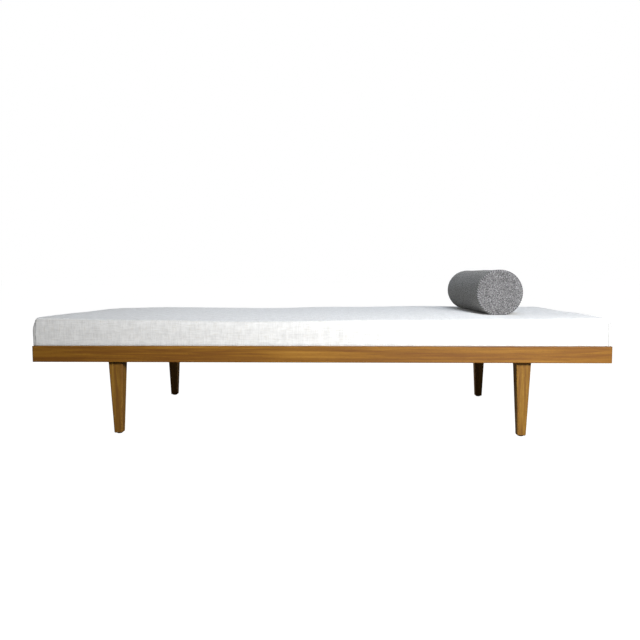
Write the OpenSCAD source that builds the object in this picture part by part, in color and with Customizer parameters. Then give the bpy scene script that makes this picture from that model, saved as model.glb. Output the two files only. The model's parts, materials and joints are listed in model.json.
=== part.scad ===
// Daybed: an oak frame on four tapered legs, a slatted base, a zipped foam mattress and a loose bolster.
// Millimetres. +X runs along the length, -Y is the front, +Z is up, and the origin is on the floor under
// the middle of the frame.

/* [Overall] */
// Length of the oak frame, end to end
frame_l = 1950; // [1700:10:2400]
// Depth of the oak frame, front to back
frame_w = 800; // [660:10:980]
// Height of the rails' top edge above the floor, which carries the mattress
base_h = 310; // [250:1:400]

/* [Rails and corners] */
// Height of the four rails
rail_h = 55; // [45:1:80]
// Thickness of the four rails
rail_t = 20; // [18:1:30]
// Rounding along the rails' long edges
rail_r = 2.5; // [1:0.5:4]
// Rounding of the frame's outer upright corners
corner_r = 6; // [1:0.5:8]
// Thickness of the loose tongue in each mitre
spline_t = 4; // [3:0.5:5]
// Width of the tongue across the mitre
spline_w = 16; // [12:1:18]
// Wood left over the tongue, so that it doesn't show on top
spline_cover = 8; // [5:1:15]
// Side of the triangular block glued into each corner
block_side = 42; // [36:1:60]

/* [Slatted base] */
// Number of slats
slat_n = 14; // [8:1:14]
// Width of one slat
slat_w = 86; // [60:1:90]
// Thickness of the slats
slat_t = 16; // [12:1:20]
// Gap between a slat's end and the rail
slat_gap = 1; // [0.5:0.5:4]
// Width of the ledgers that carry the slats
ledger_w = 18; // [16:1:28]

/* [Legs and bearers] */
// Distance from the end of the frame to a leg's middle
leg_inset = 282; // [150:1:400]
// Width of the square leg at its top
leg_top = 50; // [40:1:60]
// Width of the square leg at the floor
leg_foot = 29; // [24:1:40]
// Rounding of the leg's long edges
leg_r = 3.5; // [1:0.5:6]
// Rounding round the leg's foot
foot_r = 4; // [1:0.5:6]
// Gap between the leg's top and the rail in front of it
leg_gap = 0.5; // [0.5:0.5:6]
// Width of the bearer that a pair of legs is bolted to
bearer_w = 90; // [76:1:120]
// How far the bearer's underside is up inside the rails
bearer_rise = 5; // [2:1:8]
// Thickness of the bearer's tongue under the ledger
tongue_t = 10; // [7:1:14]
// Diameter of the glide under each leg
glide_d = 18; // [12:1:20]
// Thickness of the glide
glide_t = 3; // [2:0.5:5]

/* [Leg fixings] */
// Diameter of the leg bolt
bolt_d = 8; // [6:1:8]
// Length of the bolt under its head
bolt_l = 40; // [35:1:50]
// Diameter of the bolt's head
bolt_head_d = 13; // [10:1:14]
// Height of the bolt's head
bolt_head_h = 8; // [5:1:9]
// Depth of the recess in the bearer that hides the bolt's head
bolt_sink = 12; // [11:1:14]
// Diameter of the washer
washer_d = 16; // [14:1:20]
// Thickness of the washer
washer_t = 1.6; // [1:0.1:2]
// Outer diameter of the threaded insert in the leg
insert_d = 12; // [11:1:14]
// Length of the insert
insert_l = 20; // [15:1:25]
// Diameter of the dowels that stop a leg turning
dowel_d = 8; // [6:1:8]
// Length of the dowels
dowel_l = 30; // [20:1:36]
// Distance of each dowel from the leg's middle
dowel_offset = 14; // [12:1:15]

/* [Screws] */
// Diameter of the wood screws
screw_d = 4; // [3:0.5:4.5]
// Diameter of their countersunk heads
screw_head_d = 8; // [6:0.5:9]
// Depth of a slat screw in the ledger
slat_grip = 9; // [6:1:10]
// Depth of a ledger screw in the rail
rail_grip = 14; // [8:1:16]
// Depth of a bearer screw in the ledger
bearer_grip = 12; // [6:1:13]
// Wood that a corner block's screw head sits on
block_seat = 16; // [12:1:20]
// Ledger screws between the two bearers
ledger_screw_n = 5; // [3:1:7]

/* [Mattress] */
// How far the mattress stops short of the frame's outside
mat_inset = 3; // [3:0.5:12]
// Thickness of the mattress
mat_t = 92; // [70:1:140]
// Rounding of the mattress's upright corners
mat_corner_r = 16; // [16:1:50]
// Rounding round its top and bottom edges
mat_edge_r = 8; // [3:1:20]
// Thickness of the quilted cover
cover_t = 3; // [3:0.5:4]
// Distance of the zip's ends from the mattress's ends
zip_inset = 110; // [60:5:300]

/* [Bolster] */
// Diameter of the bolster
bolster_d = 168; // [130:1:220]
// Length of the bolster
bolster_l = 520; // [400:5:640]
// How much its own weight flattens it underneath
bolster_flat = 4; // [1:0.5:8]
// Distance of its middle from the frame's right end
bolster_from_end = 334; // [150:1:900]
// Distance of its middle behind the frame's centre line
bolster_back = 59; // [0:1:60]
// Turn away from square across the mattress, in degrees
bolster_yaw = 2.7; // [0:0.1:10]
// Thickness of its cover
bolster_wall = 3; // [2.5:0.5:4]
// Direction of its zip, in degrees below level, on the right side
bolster_zip_angle = 0; // [0:1:50]
// Distance of the zip's ends from the bolster's ends
bolster_zip_inset = 50; // [30:5:150]

/* [Zips] */
// Width of the zip tape
tape_w = 24; // [18:1:24]
// Thickness of the tape
tape_t = 0.5; // [0.4:0.1:0.8]
// Width of the closed coil
coil_w = 6; // [4:0.5:7]
// Height of the coil over the tape
coil_t = 1.4; // [1:0.1:1.6]
// Length of the slider
slider_l = 11; // [9:1:14]
// Wall of the slider
slider_wall = 0.9; // [0.8:0.1:1.2]
// Diameter of the pin that the pull hangs on
pull_pin_d = 1; // [0.8:0.1:1.2]
// Length of the pull
pull_l = 24; // [16:1:34]
// Width of the pull
pull_w = 5; // [4:0.5:5]
// Depth of the recess that the mattress zip lies in
zip_recess = 2.5; // [2:0.1:2.5]

/* [Hidden] */
SLATS = [for (i = [1:slat_n]) str("slat_", i < 10 ? "0" : "", i)];
$fn = 48;

fit_gap = 0.1;       // between a fixing and its hole, all round
rest_gap = 0.3;      // between two loose parts, one resting on the other
run_gap = 0.1;       // between a hinge pin and its eye, all round
past = 1;            // how far a cutter runs past the face that it cuts
arc_steps = 6;       // segments in a quarter turn of a rounded edge
slice_t = 0.01;      // thickness of an outline that a hull joins to others

// The stack of heights inside the rails.
rail_z0 = base_h - rail_h;
slat_z0 = base_h - slat_t;
bearer_z0 = rail_z0 + bearer_rise;
bearer_t = slat_z0 - bearer_z0;
ledger_z0 = bearer_z0 + tongue_t;
ledger_h = slat_z0 - ledger_z0;
mat_z0 = base_h + rest_gap;
mat_z1 = mat_z0 + mat_t;

// Plan sizes.
inner_l = frame_l - 2 * rail_t;
inner_w = frame_w - 2 * rail_t;
leg_x = frame_l / 2 - leg_inset;
leg_y = inner_w / 2 - leg_gap - leg_top / 2;
slat_pitch = inner_l / slat_n;
slat_l = inner_w - 2 * slat_gap;
ledger_l = inner_l - 2 * block_side;
mat_l = frame_l - 2 * mat_inset;
mat_w = frame_w - 2 * mat_inset;

// Screws: the slats' and the bearers' stand side by side in the ledger's width.
slat_screw_y = inner_w / 2 - ledger_w * 0.32;
bearer_screw_y = inner_w / 2 - ledger_w * 0.72;
bearer_screw_x = bearer_w / 2 - 15;
ledger_screw_z = ledger_z0 + ledger_h * 0.3;
recess_w = 0.9;      // arm of a screw head's cross recess
recess_l = 4.4;
recess_depth = 1.6;

// Leg fixings: they stand beside the ledger, so a little inwards of the leg's middle.
fixing_gap = 2.5;    // between the washer and the ledger
fixing_y = inner_w / 2 - ledger_w - fixing_gap - washer_d / 2;
bolt_seat_z = slat_z0 - bolt_sink;
bolt_head_z = bolt_seat_z + washer_t;
socket_af = 6;       // across the flats of the bolt's hexagon socket
socket_depth = 4;
nail_d = 2.4;
nail_l = 14;

// Bolster: its middle, and the direction of its zip's outward normal.
bolster_r = bolster_d / 2;
bolster_x = frame_l / 2 - bolster_from_end;
bolster_z0 = mat_z1 + rest_gap;
bolster_z = bolster_z0 + bolster_r - bolster_flat;
bolster_zip_sink = 1.5; // depth of the flat that its zip lies on

// Zips: heights over the face that the tape lies on.
coil_top = tape_t + coil_t;
slider_z0 = tape_t + 0.2;
slider_plate_z = coil_top + rest_gap;
slider_top = slider_plate_z + slider_wall;
eye_r = pull_pin_d / 2 + run_gap + 0.5;
pin_z = slider_top + 0.2 + eye_r;
pull_t = 1;
slider_w = coil_w + 2 * (rest_gap + slider_wall);
lug_t = 1.1;
mat_zip_l = mat_l - 2 * zip_inset;
bolster_zip_l = bolster_l - 2 * bolster_zip_inset;

function arc(cx, cy, r, from) =
    [for (i = [0:arc_steps]) let (a = from + 90 * i / arc_steps) [cx + r * cos(a), cy + r * sin(a)]];
function rounded_rect(l, w, r) =
    let (x = l / 2 - r, y = w / 2 - r)
    concat(arc(x, y, r, 0), arc(-x, y, r, 90), arc(-x, -y, r, 180), arc(x, -y, r, 270));

// A flat slice of a rounded block, thin enough to be only its outline.
module slice(l, w, r, z) {
    translate([0, 0, z]) linear_extrude(slice_t) polygon(rounded_rect(l, w, r));
}

// The outline of a rounded block at one step round its edge: a is 0 on its flat face and 90 on its side.
function edge_ring(l, w, side_r, edge_r, a, z) =
    let (in = edge_r * (1 - sin(a)))
    [for (p = rounded_rect(l - 2 * in, w - 2 * in, side_r - in)) [p.x, p.y, z]];

// A block standing on z = 0, rounded at its upright corners and round its top and bottom edges.
module soft_block(l, w, h, side_r, edge_r) {
    up = [for (i = [0:arc_steps]) 90 * i / arc_steps];
    down = [for (i = [arc_steps:-1:0]) 90 * i / arc_steps];
    rings = concat(
        [for (a = up) edge_ring(l, w, side_r, edge_r, a, edge_r * (1 - cos(a)))],
        [for (a = down) edge_ring(l, w, side_r, edge_r, a, h - edge_r * (1 - cos(a)))]
    );
    n = len(rings[0]);
    last = (len(rings) - 1) * n;
    polyhedron(
        points = [for (ring = rings) for (p = ring) p],
        faces = concat(
            [[for (k = [0:n - 1]) k]],
            [for (j = [0:len(rings) - 2]) for (k = [0:n - 1])
                let (a = j * n + k, b = j * n + (k + 1) % n) [a, a + n, b + n, b]],
            [[for (k = [n - 1:-1:0]) last + k]]
        )
    );
}

// ---- Fixings ---------------------------------------------------------------------------------------------

// The outline of a countersunk wood screw, head at the top, its flat face on z = 0 and its point down.
// grow makes the hole for it.
module screw_body(l, grow = 0) {
    r = screw_d / 2 + grow;
    head_r = screw_head_d / 2 + grow;
    tip = screw_d;
    rotate_extrude() polygon([
        [0, 0], [head_r, 0], [r, -(screw_head_d - screw_d) / 2], [r, -l + tip], [0, -l - grow]
    ]);
}

module screw(l) {
    difference() {
        screw_body(l);
        for (turn = [0, 90])
            rotate(turn) translate([-recess_l / 2, -recess_w / 2, -recess_depth])
                cube([recess_l, recess_w, recess_depth + past]);
    }
}

module screw_hole(l) {
    screw_body(l, fit_gap);
    cylinder(h = past, d = screw_head_d + 2 * fit_gap);
}

module bolt() {
    difference() {
        union() {
            translate([0, 0, bolt_head_z]) cylinder(h = bolt_head_h, d = bolt_head_d);
            translate([0, 0, bolt_head_z - bolt_l]) cylinder(h = bolt_l + past, d = bolt_d);
        }
        translate([0, 0, bolt_head_z + bolt_head_h - socket_depth])
            cylinder(h = socket_depth + past, d = socket_af / cos(30), $fn = 6);
    }
}

// Where the slats' screws go: one at each end of every slat.
module at_slat_screws() {
    for (i = [0:slat_n - 1], side = [-1, 1])
        translate([-inner_l / 2 + slat_pitch * (i + 0.5), side * slat_screw_y, base_h]) children();
}

// Where the ledgers' screws go, pointing out through one rail: side is -1 at the front and 1 at the back.
module at_ledger_screws(side) {
    span = 2 * (leg_x - bearer_w / 2);
    overhang = (leg_x + bearer_w / 2 + ledger_l / 2) / 2;
    middle = [for (i = [1:ledger_screw_n]) -span / 2 + span * i / (ledger_screw_n + 1)];
    for (x = concat([-overhang, overhang], middle))
        translate([x, side * (inner_w / 2 - ledger_w), ledger_screw_z]) rotate([side * 90, 0, 0]) children();
}

// Where the bearers' screws go, pointing up into the ledgers.
module at_bearer_screws(end) {
    for (side = [-1, 1], dx = [-1, 1])
        translate([end * leg_x + dx * bearer_screw_x, side * bearer_screw_y, bearer_z0])
            rotate([180, 0, 0]) children();
}

// The frame's inside corner at (sx, sy), with the first quadrant turned to face the frame's middle.
module at_corner(sx, sy) {
    translate([sx * inner_l / 2, sy * inner_w / 2, bearer_z0])
        mirror([sx > 0 ? 1 : 0, 0, 0]) mirror([0, sy > 0 ? 1 : 0, 0]) children();
}

block_screw_at = 12;                       // distance of a block screw from the other rail
block_screw_low = bearer_t * 0.27;
block_screw_high = bearer_t * 0.73;
block_screw_l = block_seat + rail_grip - 2;

// In a corner's quadrant: one screw into the long rail and one, higher up, into the end rail.
module at_block_screws() {
    translate([block_screw_at, block_seat, block_screw_low]) rotate([-90, 0, 0]) children();
    translate([block_seat, block_screw_at, block_screw_high]) rotate([0, 90, 0]) children();
}

// Everything that is cut from the rails for their screws and tongues.
module rail_cuts() {
    for (side = [-1, 1]) at_ledger_screws(side) screw_body(ledger_w + rail_grip, fit_gap);
    for (sx = [-1, 1], sy = [-1, 1]) {
        at_corner(sx, sy) at_block_screws() screw_body(block_screw_l, fit_gap);
        spline(sx, sy, fit_gap);
    }
}

// ---- Frame -----------------------------------------------------------------------------------------------

// A rail's section run along X, over the middle of the frame, at the front.
module rail_bar(l, w) {
    translate([-l / 2, -w / 2 + rail_t / 2, rail_z0 + rail_h / 2])
        rotate([90, 0, 90]) linear_extrude(l) polygon(rounded_rect(rail_t, rail_h, rail_r));
}

// The plan of one mitred rail, with the frame's outer corners rounded.
module mitred_plan(l, w) {
    in = [l / 2 - rail_t, -w / 2 + rail_t];
    intersection() {
        polygon([[-l / 2, -w / 2], [l / 2, -w / 2], in, [-in.x, in.y]]);
        polygon(rounded_rect(l, w, corner_r));
    }
}

module mitred_rail(l, w) {
    intersection() {
        rail_bar(l, w);
        translate([0, 0, rail_z0 - past]) linear_extrude(rail_h + 2 * past) mitred_plan(l, w);
    }
}

module front_rail() {
    color("peru") difference() {
        mitred_rail(frame_l, frame_w);
        rail_cuts();
    }
}

module back_rail() {
    color("peru") difference() {
        rotate(180) mitred_rail(frame_l, frame_w);
        rail_cuts();
    }
}

module end_rail(sx) {
    color("peru") difference() {
        rotate(sx * 90) mitred_rail(frame_w, frame_l);
        rail_cuts();
    }
}

// A loose tongue across one mitre, set towards the inside of the joint.
module spline(sx, sy, grow = 0) {
    inward = rail_t * 0.4;
    translate([sx * (inner_l / 2 + inward), sy * (inner_w / 2 + inward), rail_z0 + rail_r])
        rotate(-sx * sy * 45)
            translate([-spline_w / 2 - grow, -spline_t / 2 - grow, -grow])
                cube([spline_w + 2 * grow, spline_t + 2 * grow, rail_h - rail_r - spline_cover + 2 * grow]);
}

module corner_splines() {
    color("burlywood") for (sx = [-1, 1], sy = [-1, 1]) spline(sx, sy);
}

module corner_block(sx, sy) {
    blunt = 8; // width of the flat at each of the block's sharp ends
    side = block_side;
    color("wheat") at_corner(sx, sy) difference() {
        linear_extrude(bearer_t) polygon([[0, 0], [side, 0], [side, blunt], [blunt, side], [0, side]]);
        at_block_screws() {
            screw_body(block_screw_l, fit_gap);
            cylinder(h = block_side, d = screw_head_d + 2);
        }
    }
}

module corner_block_screws() {
    color("silver") for (sx = [-1, 1], sy = [-1, 1])
        at_corner(sx, sy) at_block_screws() screw(block_screw_l);
}

// side is -1 for the front ledger and 1 for the back one.
module ledger(side) {
    color("wheat") difference() {
        translate([-ledger_l / 2, side > 0 ? inner_w / 2 - ledger_w : -inner_w / 2, ledger_z0])
            cube([ledger_l, ledger_w, ledger_h]);
        at_ledger_screws(side) screw_hole(ledger_w + rail_grip);
        at_slat_screws() screw_body(slat_t + slat_grip, fit_gap);
        for (end = [-1, 1]) at_bearer_screws(end) screw_body(tongue_t + bearer_grip, fit_gap);
    }
}

module ledger_screws() {
    color("silver") for (side = [-1, 1]) at_ledger_screws(side) screw(ledger_w + rail_grip);
}

// ---- Slats -----------------------------------------------------------------------------------------------

module slat(i) {
    slat_r = 2;
    color("tan") difference() {
        translate([-inner_l / 2 + slat_pitch * (i + 0.5), slat_l / 2, slat_z0 + slat_t / 2])
            rotate([90, 0, 0]) linear_extrude(slat_l) polygon(rounded_rect(slat_w, slat_t, slat_r));
        at_slat_screws() screw_hole(slat_t + slat_grip);
    }
}

module slat_screws() {
    color("silver") at_slat_screws() screw(slat_t + slat_grip);
}

// ---- Legs and bearers ------------------------------------------------------------------------------------

// The middle of the leg at (sx, sy).
module at_leg(sx, sy) {
    translate([sx * leg_x, sy * leg_y, 0]) children();
}

// The axis of that leg's bolt.
module at_fixing(sx, sy) {
    translate([sx * leg_x, sy * fixing_y, 0]) children();
}

module leg_dowel_pair(grow = 0) {
    for (dx = [-1, 1]) translate([dx * dowel_offset, 0, bearer_z0 - dowel_l / 2 - grow])
        cylinder(h = dowel_l + 2 * grow, d = dowel_d + 2 * grow);
}

// A bearer runs from the front rail to the back one, notched under both ledgers.
module leg_bearer(end) {
    notch = ledger_w + rest_gap;
    color("peru") difference() {
        translate([end * leg_x - bearer_w / 2, -inner_w / 2, bearer_z0]) cube([bearer_w, inner_w, bearer_t]);
        for (side = [-1, 1]) translate([end * leg_x, side * (inner_w / 2 - notch / 2 + past / 2), ledger_z0])
            translate([-bearer_w / 2 - past, -(notch + past) / 2, 0])
                cube([bearer_w + 2 * past, notch + past, ledger_h + past]);
        for (side = [-1, 1]) at_fixing(end, side) {
            translate([0, 0, bearer_z0 - past]) cylinder(h = bearer_t + 2 * past, d = bolt_d + 2 * fit_gap);
            translate([0, 0, bolt_seat_z]) cylinder(h = bolt_sink + past, d = washer_d + 2);
            leg_dowel_pair(fit_gap);
        }
        at_bearer_screws(end) screw_hole(tongue_t + bearer_grip);
    }
}

module bearer_screws() {
    color("silver") for (end = [-1, 1]) at_bearer_screws(end) screw(tongue_t + bearer_grip);
}

module leg(sx, sy) {
    color("peru") difference() {
        at_leg(sx, sy) hull() {
            for (i = [0:arc_steps]) let (a = 90 * i / arc_steps) {
                in = foot_r * (1 - sin(a));
                w = leg_foot - 2 * in;
                slice(w, w, max(leg_r - in, 0.5), glide_t + foot_r * (1 - cos(a)));
            }
            slice(leg_top, leg_top, leg_r, bearer_z0 - slice_t);
        }
        at_fixing(sx, sy) {
            translate([0, 0, bearer_z0 - insert_l])
                cylinder(h = insert_l + past, d = insert_d + 2 * fit_gap);
            translate([0, 0, bolt_head_z - bolt_l - 2]) cylinder(h = bolt_l, d = bolt_d + 2 * fit_gap);
            leg_dowel_pair(fit_gap);
        }
        at_leg(sx, sy) translate([0, 0, -past])
            cylinder(h = glide_t + nail_l + past + fit_gap, d = nail_d + 2 * fit_gap);
    }
}

module glide(sx, sy) {
    r = glide_d / 2;
    bevel = 0.8;
    nail_r = nail_d / 2;
    color("dimgray") at_leg(sx, sy) rotate_extrude() polygon([
        [0, 0], [r - bevel, 0], [r, bevel], [r, glide_t],
        [nail_r, glide_t], [nail_r, glide_t + nail_l - nail_d], [0, glide_t + nail_l]
    ]);
}

module each_fixing() {
    for (sx = [-1, 1], sy = [-1, 1]) at_fixing(sx, sy) children();
}

module leg_bolts() {
    color("silver") each_fixing() bolt();
}

module leg_washers() {
    color("silver") each_fixing() translate([0, 0, bolt_seat_z]) difference() {
        cylinder(h = washer_t, d = washer_d);
        translate([0, 0, -past]) cylinder(h = washer_t + 2 * past, d = bolt_d + 2 * fit_gap);
    }
}

module leg_inserts() {
    color("goldenrod") each_fixing() translate([0, 0, bearer_z0 - insert_l]) difference() {
        cylinder(h = insert_l, d = insert_d);
        translate([0, 0, -past]) cylinder(h = insert_l + 2 * past, d = bolt_d + 2 * fit_gap);
    }
}

module leg_dowels() {
    color("burlywood") each_fixing() leg_dowel_pair();
}

// ---- Zips ------------------------------------------------------------------------------------------------
// A zip lies along its own X, over the middle, with its tape on z = 0 and its coil outwards.

module zip_tape(l) {
    color("gainsboro") translate([-l / 2, -tape_w / 2, 0]) cube([l, tape_w, tape_t]);
}

module zip_coil(l) {
    color("white") translate([-l / 2, -coil_w / 2, tape_t]) cube([l, coil_w, coil_t]);
}

// The slider straddles the coil, and holds the pull's pin between two lugs.
module zip_slider() {
    pin_x = -slider_l * 0.1;
    lug_gap = pull_w + 2 * run_gap;
    lug_z0 = slider_top - slider_wall / 2;
    color("silver") {
        difference() {
            translate([-slider_l / 2, -slider_w / 2, slider_z0])
                cube([slider_l, slider_w, slider_top - slider_z0]);
            translate([-slider_l / 2 - past, -coil_w / 2 - rest_gap, slider_z0 - past])
                cube([slider_l + 2 * past, coil_w + 2 * rest_gap, slider_plate_z - slider_z0 + past]);
        }
        for (side = [-1, 1]) translate([pin_x, side * (lug_gap + lug_t) / 2, 0]) {
            translate([-eye_r, -lug_t / 2, lug_z0]) cube([2 * eye_r, lug_t, pin_z - lug_z0]);
            translate([0, 0, pin_z]) rotate([90, 0, 0]) cylinder(h = lug_t, r = eye_r, center = true);
        }
        translate([pin_x, 0, pin_z]) rotate([90, 0, 0])
            cylinder(h = lug_gap + lug_t, d = pull_pin_d, center = true);
    }
}

// The pull lies back along -X from its pin.
module zip_pull() {
    pin_x = -slider_l * 0.1;
    hole_d = 3;
    color("silver") translate([pin_x, 0, pin_z]) difference() {
        union() {
            rotate([90, 0, 0]) cylinder(h = pull_w, r = eye_r, center = true);
            translate([-pull_l + pull_w / 2, -pull_w / 2, -pull_t / 2])
                cube([pull_l - pull_w / 2, pull_w, pull_t]);
            translate([-pull_l + pull_w / 2, 0, 0]) cylinder(h = pull_t, d = pull_w, center = true);
        }
        rotate([90, 0, 0]) cylinder(h = pull_w + 2 * past, d = pull_pin_d + 2 * run_gap, center = true);
        translate([-pull_l + pull_w / 2, 0, 0]) cylinder(h = pull_t + 2 * past, d = hole_d, center = true);
    }
}

// ---- Mattress --------------------------------------------------------------------------------------------

// The mattress zip runs along the middle of its back, its tape in a shallow recess.
module on_mattress_back() {
    translate([0, mat_w / 2 - zip_recess, mat_z0 + mat_t / 2]) rotate([-90, 0, 0]) children();
}

// Where the slider stops when the zip is closed.
module at_mattress_zip_end() {
    on_mattress_back() translate([mat_zip_l / 2 - slider_l, 0, 0]) children();
}

module mattress_core() {
    color("lemonchiffon") translate([0, 0, mat_z0 + cover_t]) linear_extrude(mat_t - 2 * cover_t)
        polygon(rounded_rect(mat_l - 2 * cover_t, mat_w - 2 * cover_t, mat_corner_r - cover_t));
}

module mattress_cover() {
    color("whitesmoke") difference() {
        translate([0, 0, mat_z0]) soft_block(mat_l, mat_w, mat_t, mat_corner_r, mat_edge_r);
        mattress_core();
        on_mattress_back() translate([-mat_zip_l / 2 - past, -tape_w / 2 - past, 0])
            cube([mat_zip_l + 2 * past, tape_w + 2 * past, zip_recess + past]);
    }
}

// ---- Bolster ---------------------------------------------------------------------------------------------

module at_bolster() {
    translate([bolster_x, bolster_back, bolster_z]) rotate(bolster_yaw) children();
}

// A round bar along the bolster's own length, from y0 to y1, flattened at depth below its middle.
module bolster_bar(r, y0, y1, depth) {
    intersection() {
        translate([0, y1, 0]) rotate([90, 0, 0]) cylinder(h = y1 - y0, r = r);
        translate([-r - past, y0, -depth]) cube([2 * r + 2 * past, y1 - y0, r + depth + past]);
    }
}

// The bolster zip's own frame: its X along the bolster, its Z out of the flat that it lies on.
module on_bolster_zip() {
    rotate([0, 90 + bolster_zip_angle, 0]) translate([0, 0, bolster_r - bolster_zip_sink])
        rotate(90) children();
}

module at_bolster_zip_end() {
    at_bolster() on_bolster_zip() translate([bolster_zip_l / 2 - slider_l, 0, 0]) children();
}

bolster_depth = bolster_r - bolster_flat;
bolster_end = bolster_l / 2;

module bolster_core() {
    end = bolster_end - bolster_wall;
    color("lemonchiffon") at_bolster()
        bolster_bar(bolster_r - bolster_wall, -end, end, bolster_depth - bolster_wall);
}

module bolster_cover() {
    flat_w = tape_w + 4;
    inner = bolster_end - bolster_wall;
    color("gray") at_bolster() difference() {
        bolster_bar(bolster_r, -inner, inner, bolster_depth);
        bolster_bar(bolster_r - bolster_wall, -inner - past, inner + past, bolster_depth - bolster_wall);
        on_bolster_zip() translate([-bolster_zip_l / 2 - past, -flat_w / 2, 0])
            cube([bolster_zip_l + 2 * past, flat_w, bolster_wall]);
    }
}

// side is -1 for the cap at the front and 1 for the one at the back.
module bolster_cap(side) {
    y0 = side > 0 ? bolster_end - bolster_wall : -bolster_end;
    color("gray") at_bolster() bolster_bar(bolster_r, y0, y0 + bolster_wall, bolster_depth);
}

// ---- Nodes -----------------------------------------------------------------------------------------------

front_rail();
back_rail();
end_rail(-1);  // left_rail
end_rail(1);  // right_rail
corner_splines();
corner_block(-1, -1);  // corner_block_front_left
corner_block(1, -1);  // corner_block_front_right
corner_block(-1, 1);  // corner_block_back_left
corner_block(1, 1);  // corner_block_back_right
ledger(-1);  // front_ledger
ledger(1);  // back_ledger
leg_bearer(-1);  // left_leg_bearer
leg_bearer(1);  // right_leg_bearer
leg(-1, -1);  // leg_front_left
leg(1, -1);  // leg_front_right
leg(-1, 1);  // leg_back_left
leg(1, 1);  // leg_back_right
glide(-1, -1);  // glide_front_left
glide(1, -1);  // glide_front_right
glide(-1, 1);  // glide_back_left
glide(1, 1);  // glide_back_right
leg_bolts();
leg_washers();
leg_inserts();
leg_dowels();
for (i = [0:slat_n - 1]) slat(i);
slat_screws();
ledger_screws();
bearer_screws();
corner_block_screws();
mattress_core();
mattress_cover();
on_mattress_back() zip_tape(mat_zip_l);  // mattress_zip_tape
on_mattress_back() zip_coil(mat_zip_l);  // mattress_zip_coil
at_mattress_zip_end() zip_slider();  // mattress_zip_slider
at_mattress_zip_end() zip_pull();  // mattress_zip_pull
bolster_core();
bolster_cover();
bolster_cap(-1);  // bolster_cap_front
bolster_cap(1);  // bolster_cap_back
at_bolster() on_bolster_zip() zip_tape(bolster_zip_l);  // bolster_zip_tape
at_bolster() on_bolster_zip() zip_coil(bolster_zip_l);  // bolster_zip_coil
at_bolster_zip_end() zip_slider();  // bolster_zip_slider
at_bolster_zip_end() zip_pull();  // bolster_zip_pull
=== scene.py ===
"""A low oak daybed with a zipped linen mattress and a round wool bolster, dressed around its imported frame.

Every length is in metres. +X runs along the daybed, -Y is its front and +Z is up.
"""
import json
import logging
import math
from collections.abc import Callable, Iterable
from dataclasses import dataclass, field
from enum import Enum

import bmesh
import bpy
import numpy as np
from mathutils import Matrix, Vector
from mathutils.bvhtree import BVHTree

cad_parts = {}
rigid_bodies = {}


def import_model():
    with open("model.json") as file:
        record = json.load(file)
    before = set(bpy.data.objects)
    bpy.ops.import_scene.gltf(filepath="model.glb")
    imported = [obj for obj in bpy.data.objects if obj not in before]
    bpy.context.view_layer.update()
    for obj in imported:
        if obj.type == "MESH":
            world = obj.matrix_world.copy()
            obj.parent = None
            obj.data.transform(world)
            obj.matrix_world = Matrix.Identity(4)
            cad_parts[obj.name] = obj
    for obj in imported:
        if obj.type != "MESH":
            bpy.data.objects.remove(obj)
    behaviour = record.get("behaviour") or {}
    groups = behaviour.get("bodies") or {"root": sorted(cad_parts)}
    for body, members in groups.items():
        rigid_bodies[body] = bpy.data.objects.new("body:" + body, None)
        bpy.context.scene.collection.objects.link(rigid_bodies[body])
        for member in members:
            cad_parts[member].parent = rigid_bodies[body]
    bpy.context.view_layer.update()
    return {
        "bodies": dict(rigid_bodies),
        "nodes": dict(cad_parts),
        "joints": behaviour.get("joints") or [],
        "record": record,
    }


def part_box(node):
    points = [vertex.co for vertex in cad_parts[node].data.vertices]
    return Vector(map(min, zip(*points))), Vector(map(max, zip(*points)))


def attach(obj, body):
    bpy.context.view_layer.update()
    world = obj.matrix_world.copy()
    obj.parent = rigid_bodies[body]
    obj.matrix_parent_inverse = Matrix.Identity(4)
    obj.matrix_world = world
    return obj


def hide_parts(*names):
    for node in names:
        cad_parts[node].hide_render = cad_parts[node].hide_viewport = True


LOG = logging.getLogger("daybed")
MM = 0.001
CLOTH_MAP = "cloth"
# A surface's height over each X and Y.
Heights = Callable[[np.ndarray, np.ndarray], np.ndarray]


class Axis(Enum):
    """A direction of the row frame."""

    X = 0
    Y = 1
    Z = 2

    @property
    def order(self) -> tuple[int, int, int]:
        """This axis first, then the other two in turn."""
        return self.value, (self.value + 1) % 3, (self.value + 2) % 3


# ---- Colour and nodes -----------------------------------------------------------------------------


def linear(code: str) -> tuple[float, float, float, float]:
    """Turns an sRGB hex colour into linear light.

    Args:
        code: The colour, such as "#E8E6E1".

    Returns:
        Red, green, blue and an alpha of 1.
    """
    parts = [int(code[i : i + 2], 16) / 255 for i in (1, 3, 5)]
    light = [c / 12.92 if c <= 0.04045 else ((c + 0.055) / 1.055) ** 2.4 for c in parts]
    return light[0], light[1], light[2], 1.0


def dimmed(colour: tuple[float, ...], share: float) -> tuple[float, float, float, float]:
    """A linear colour at a share of its brightness."""
    red, green, blue, _ = colour
    return red * share, green * share, blue * share, 1.0


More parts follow.
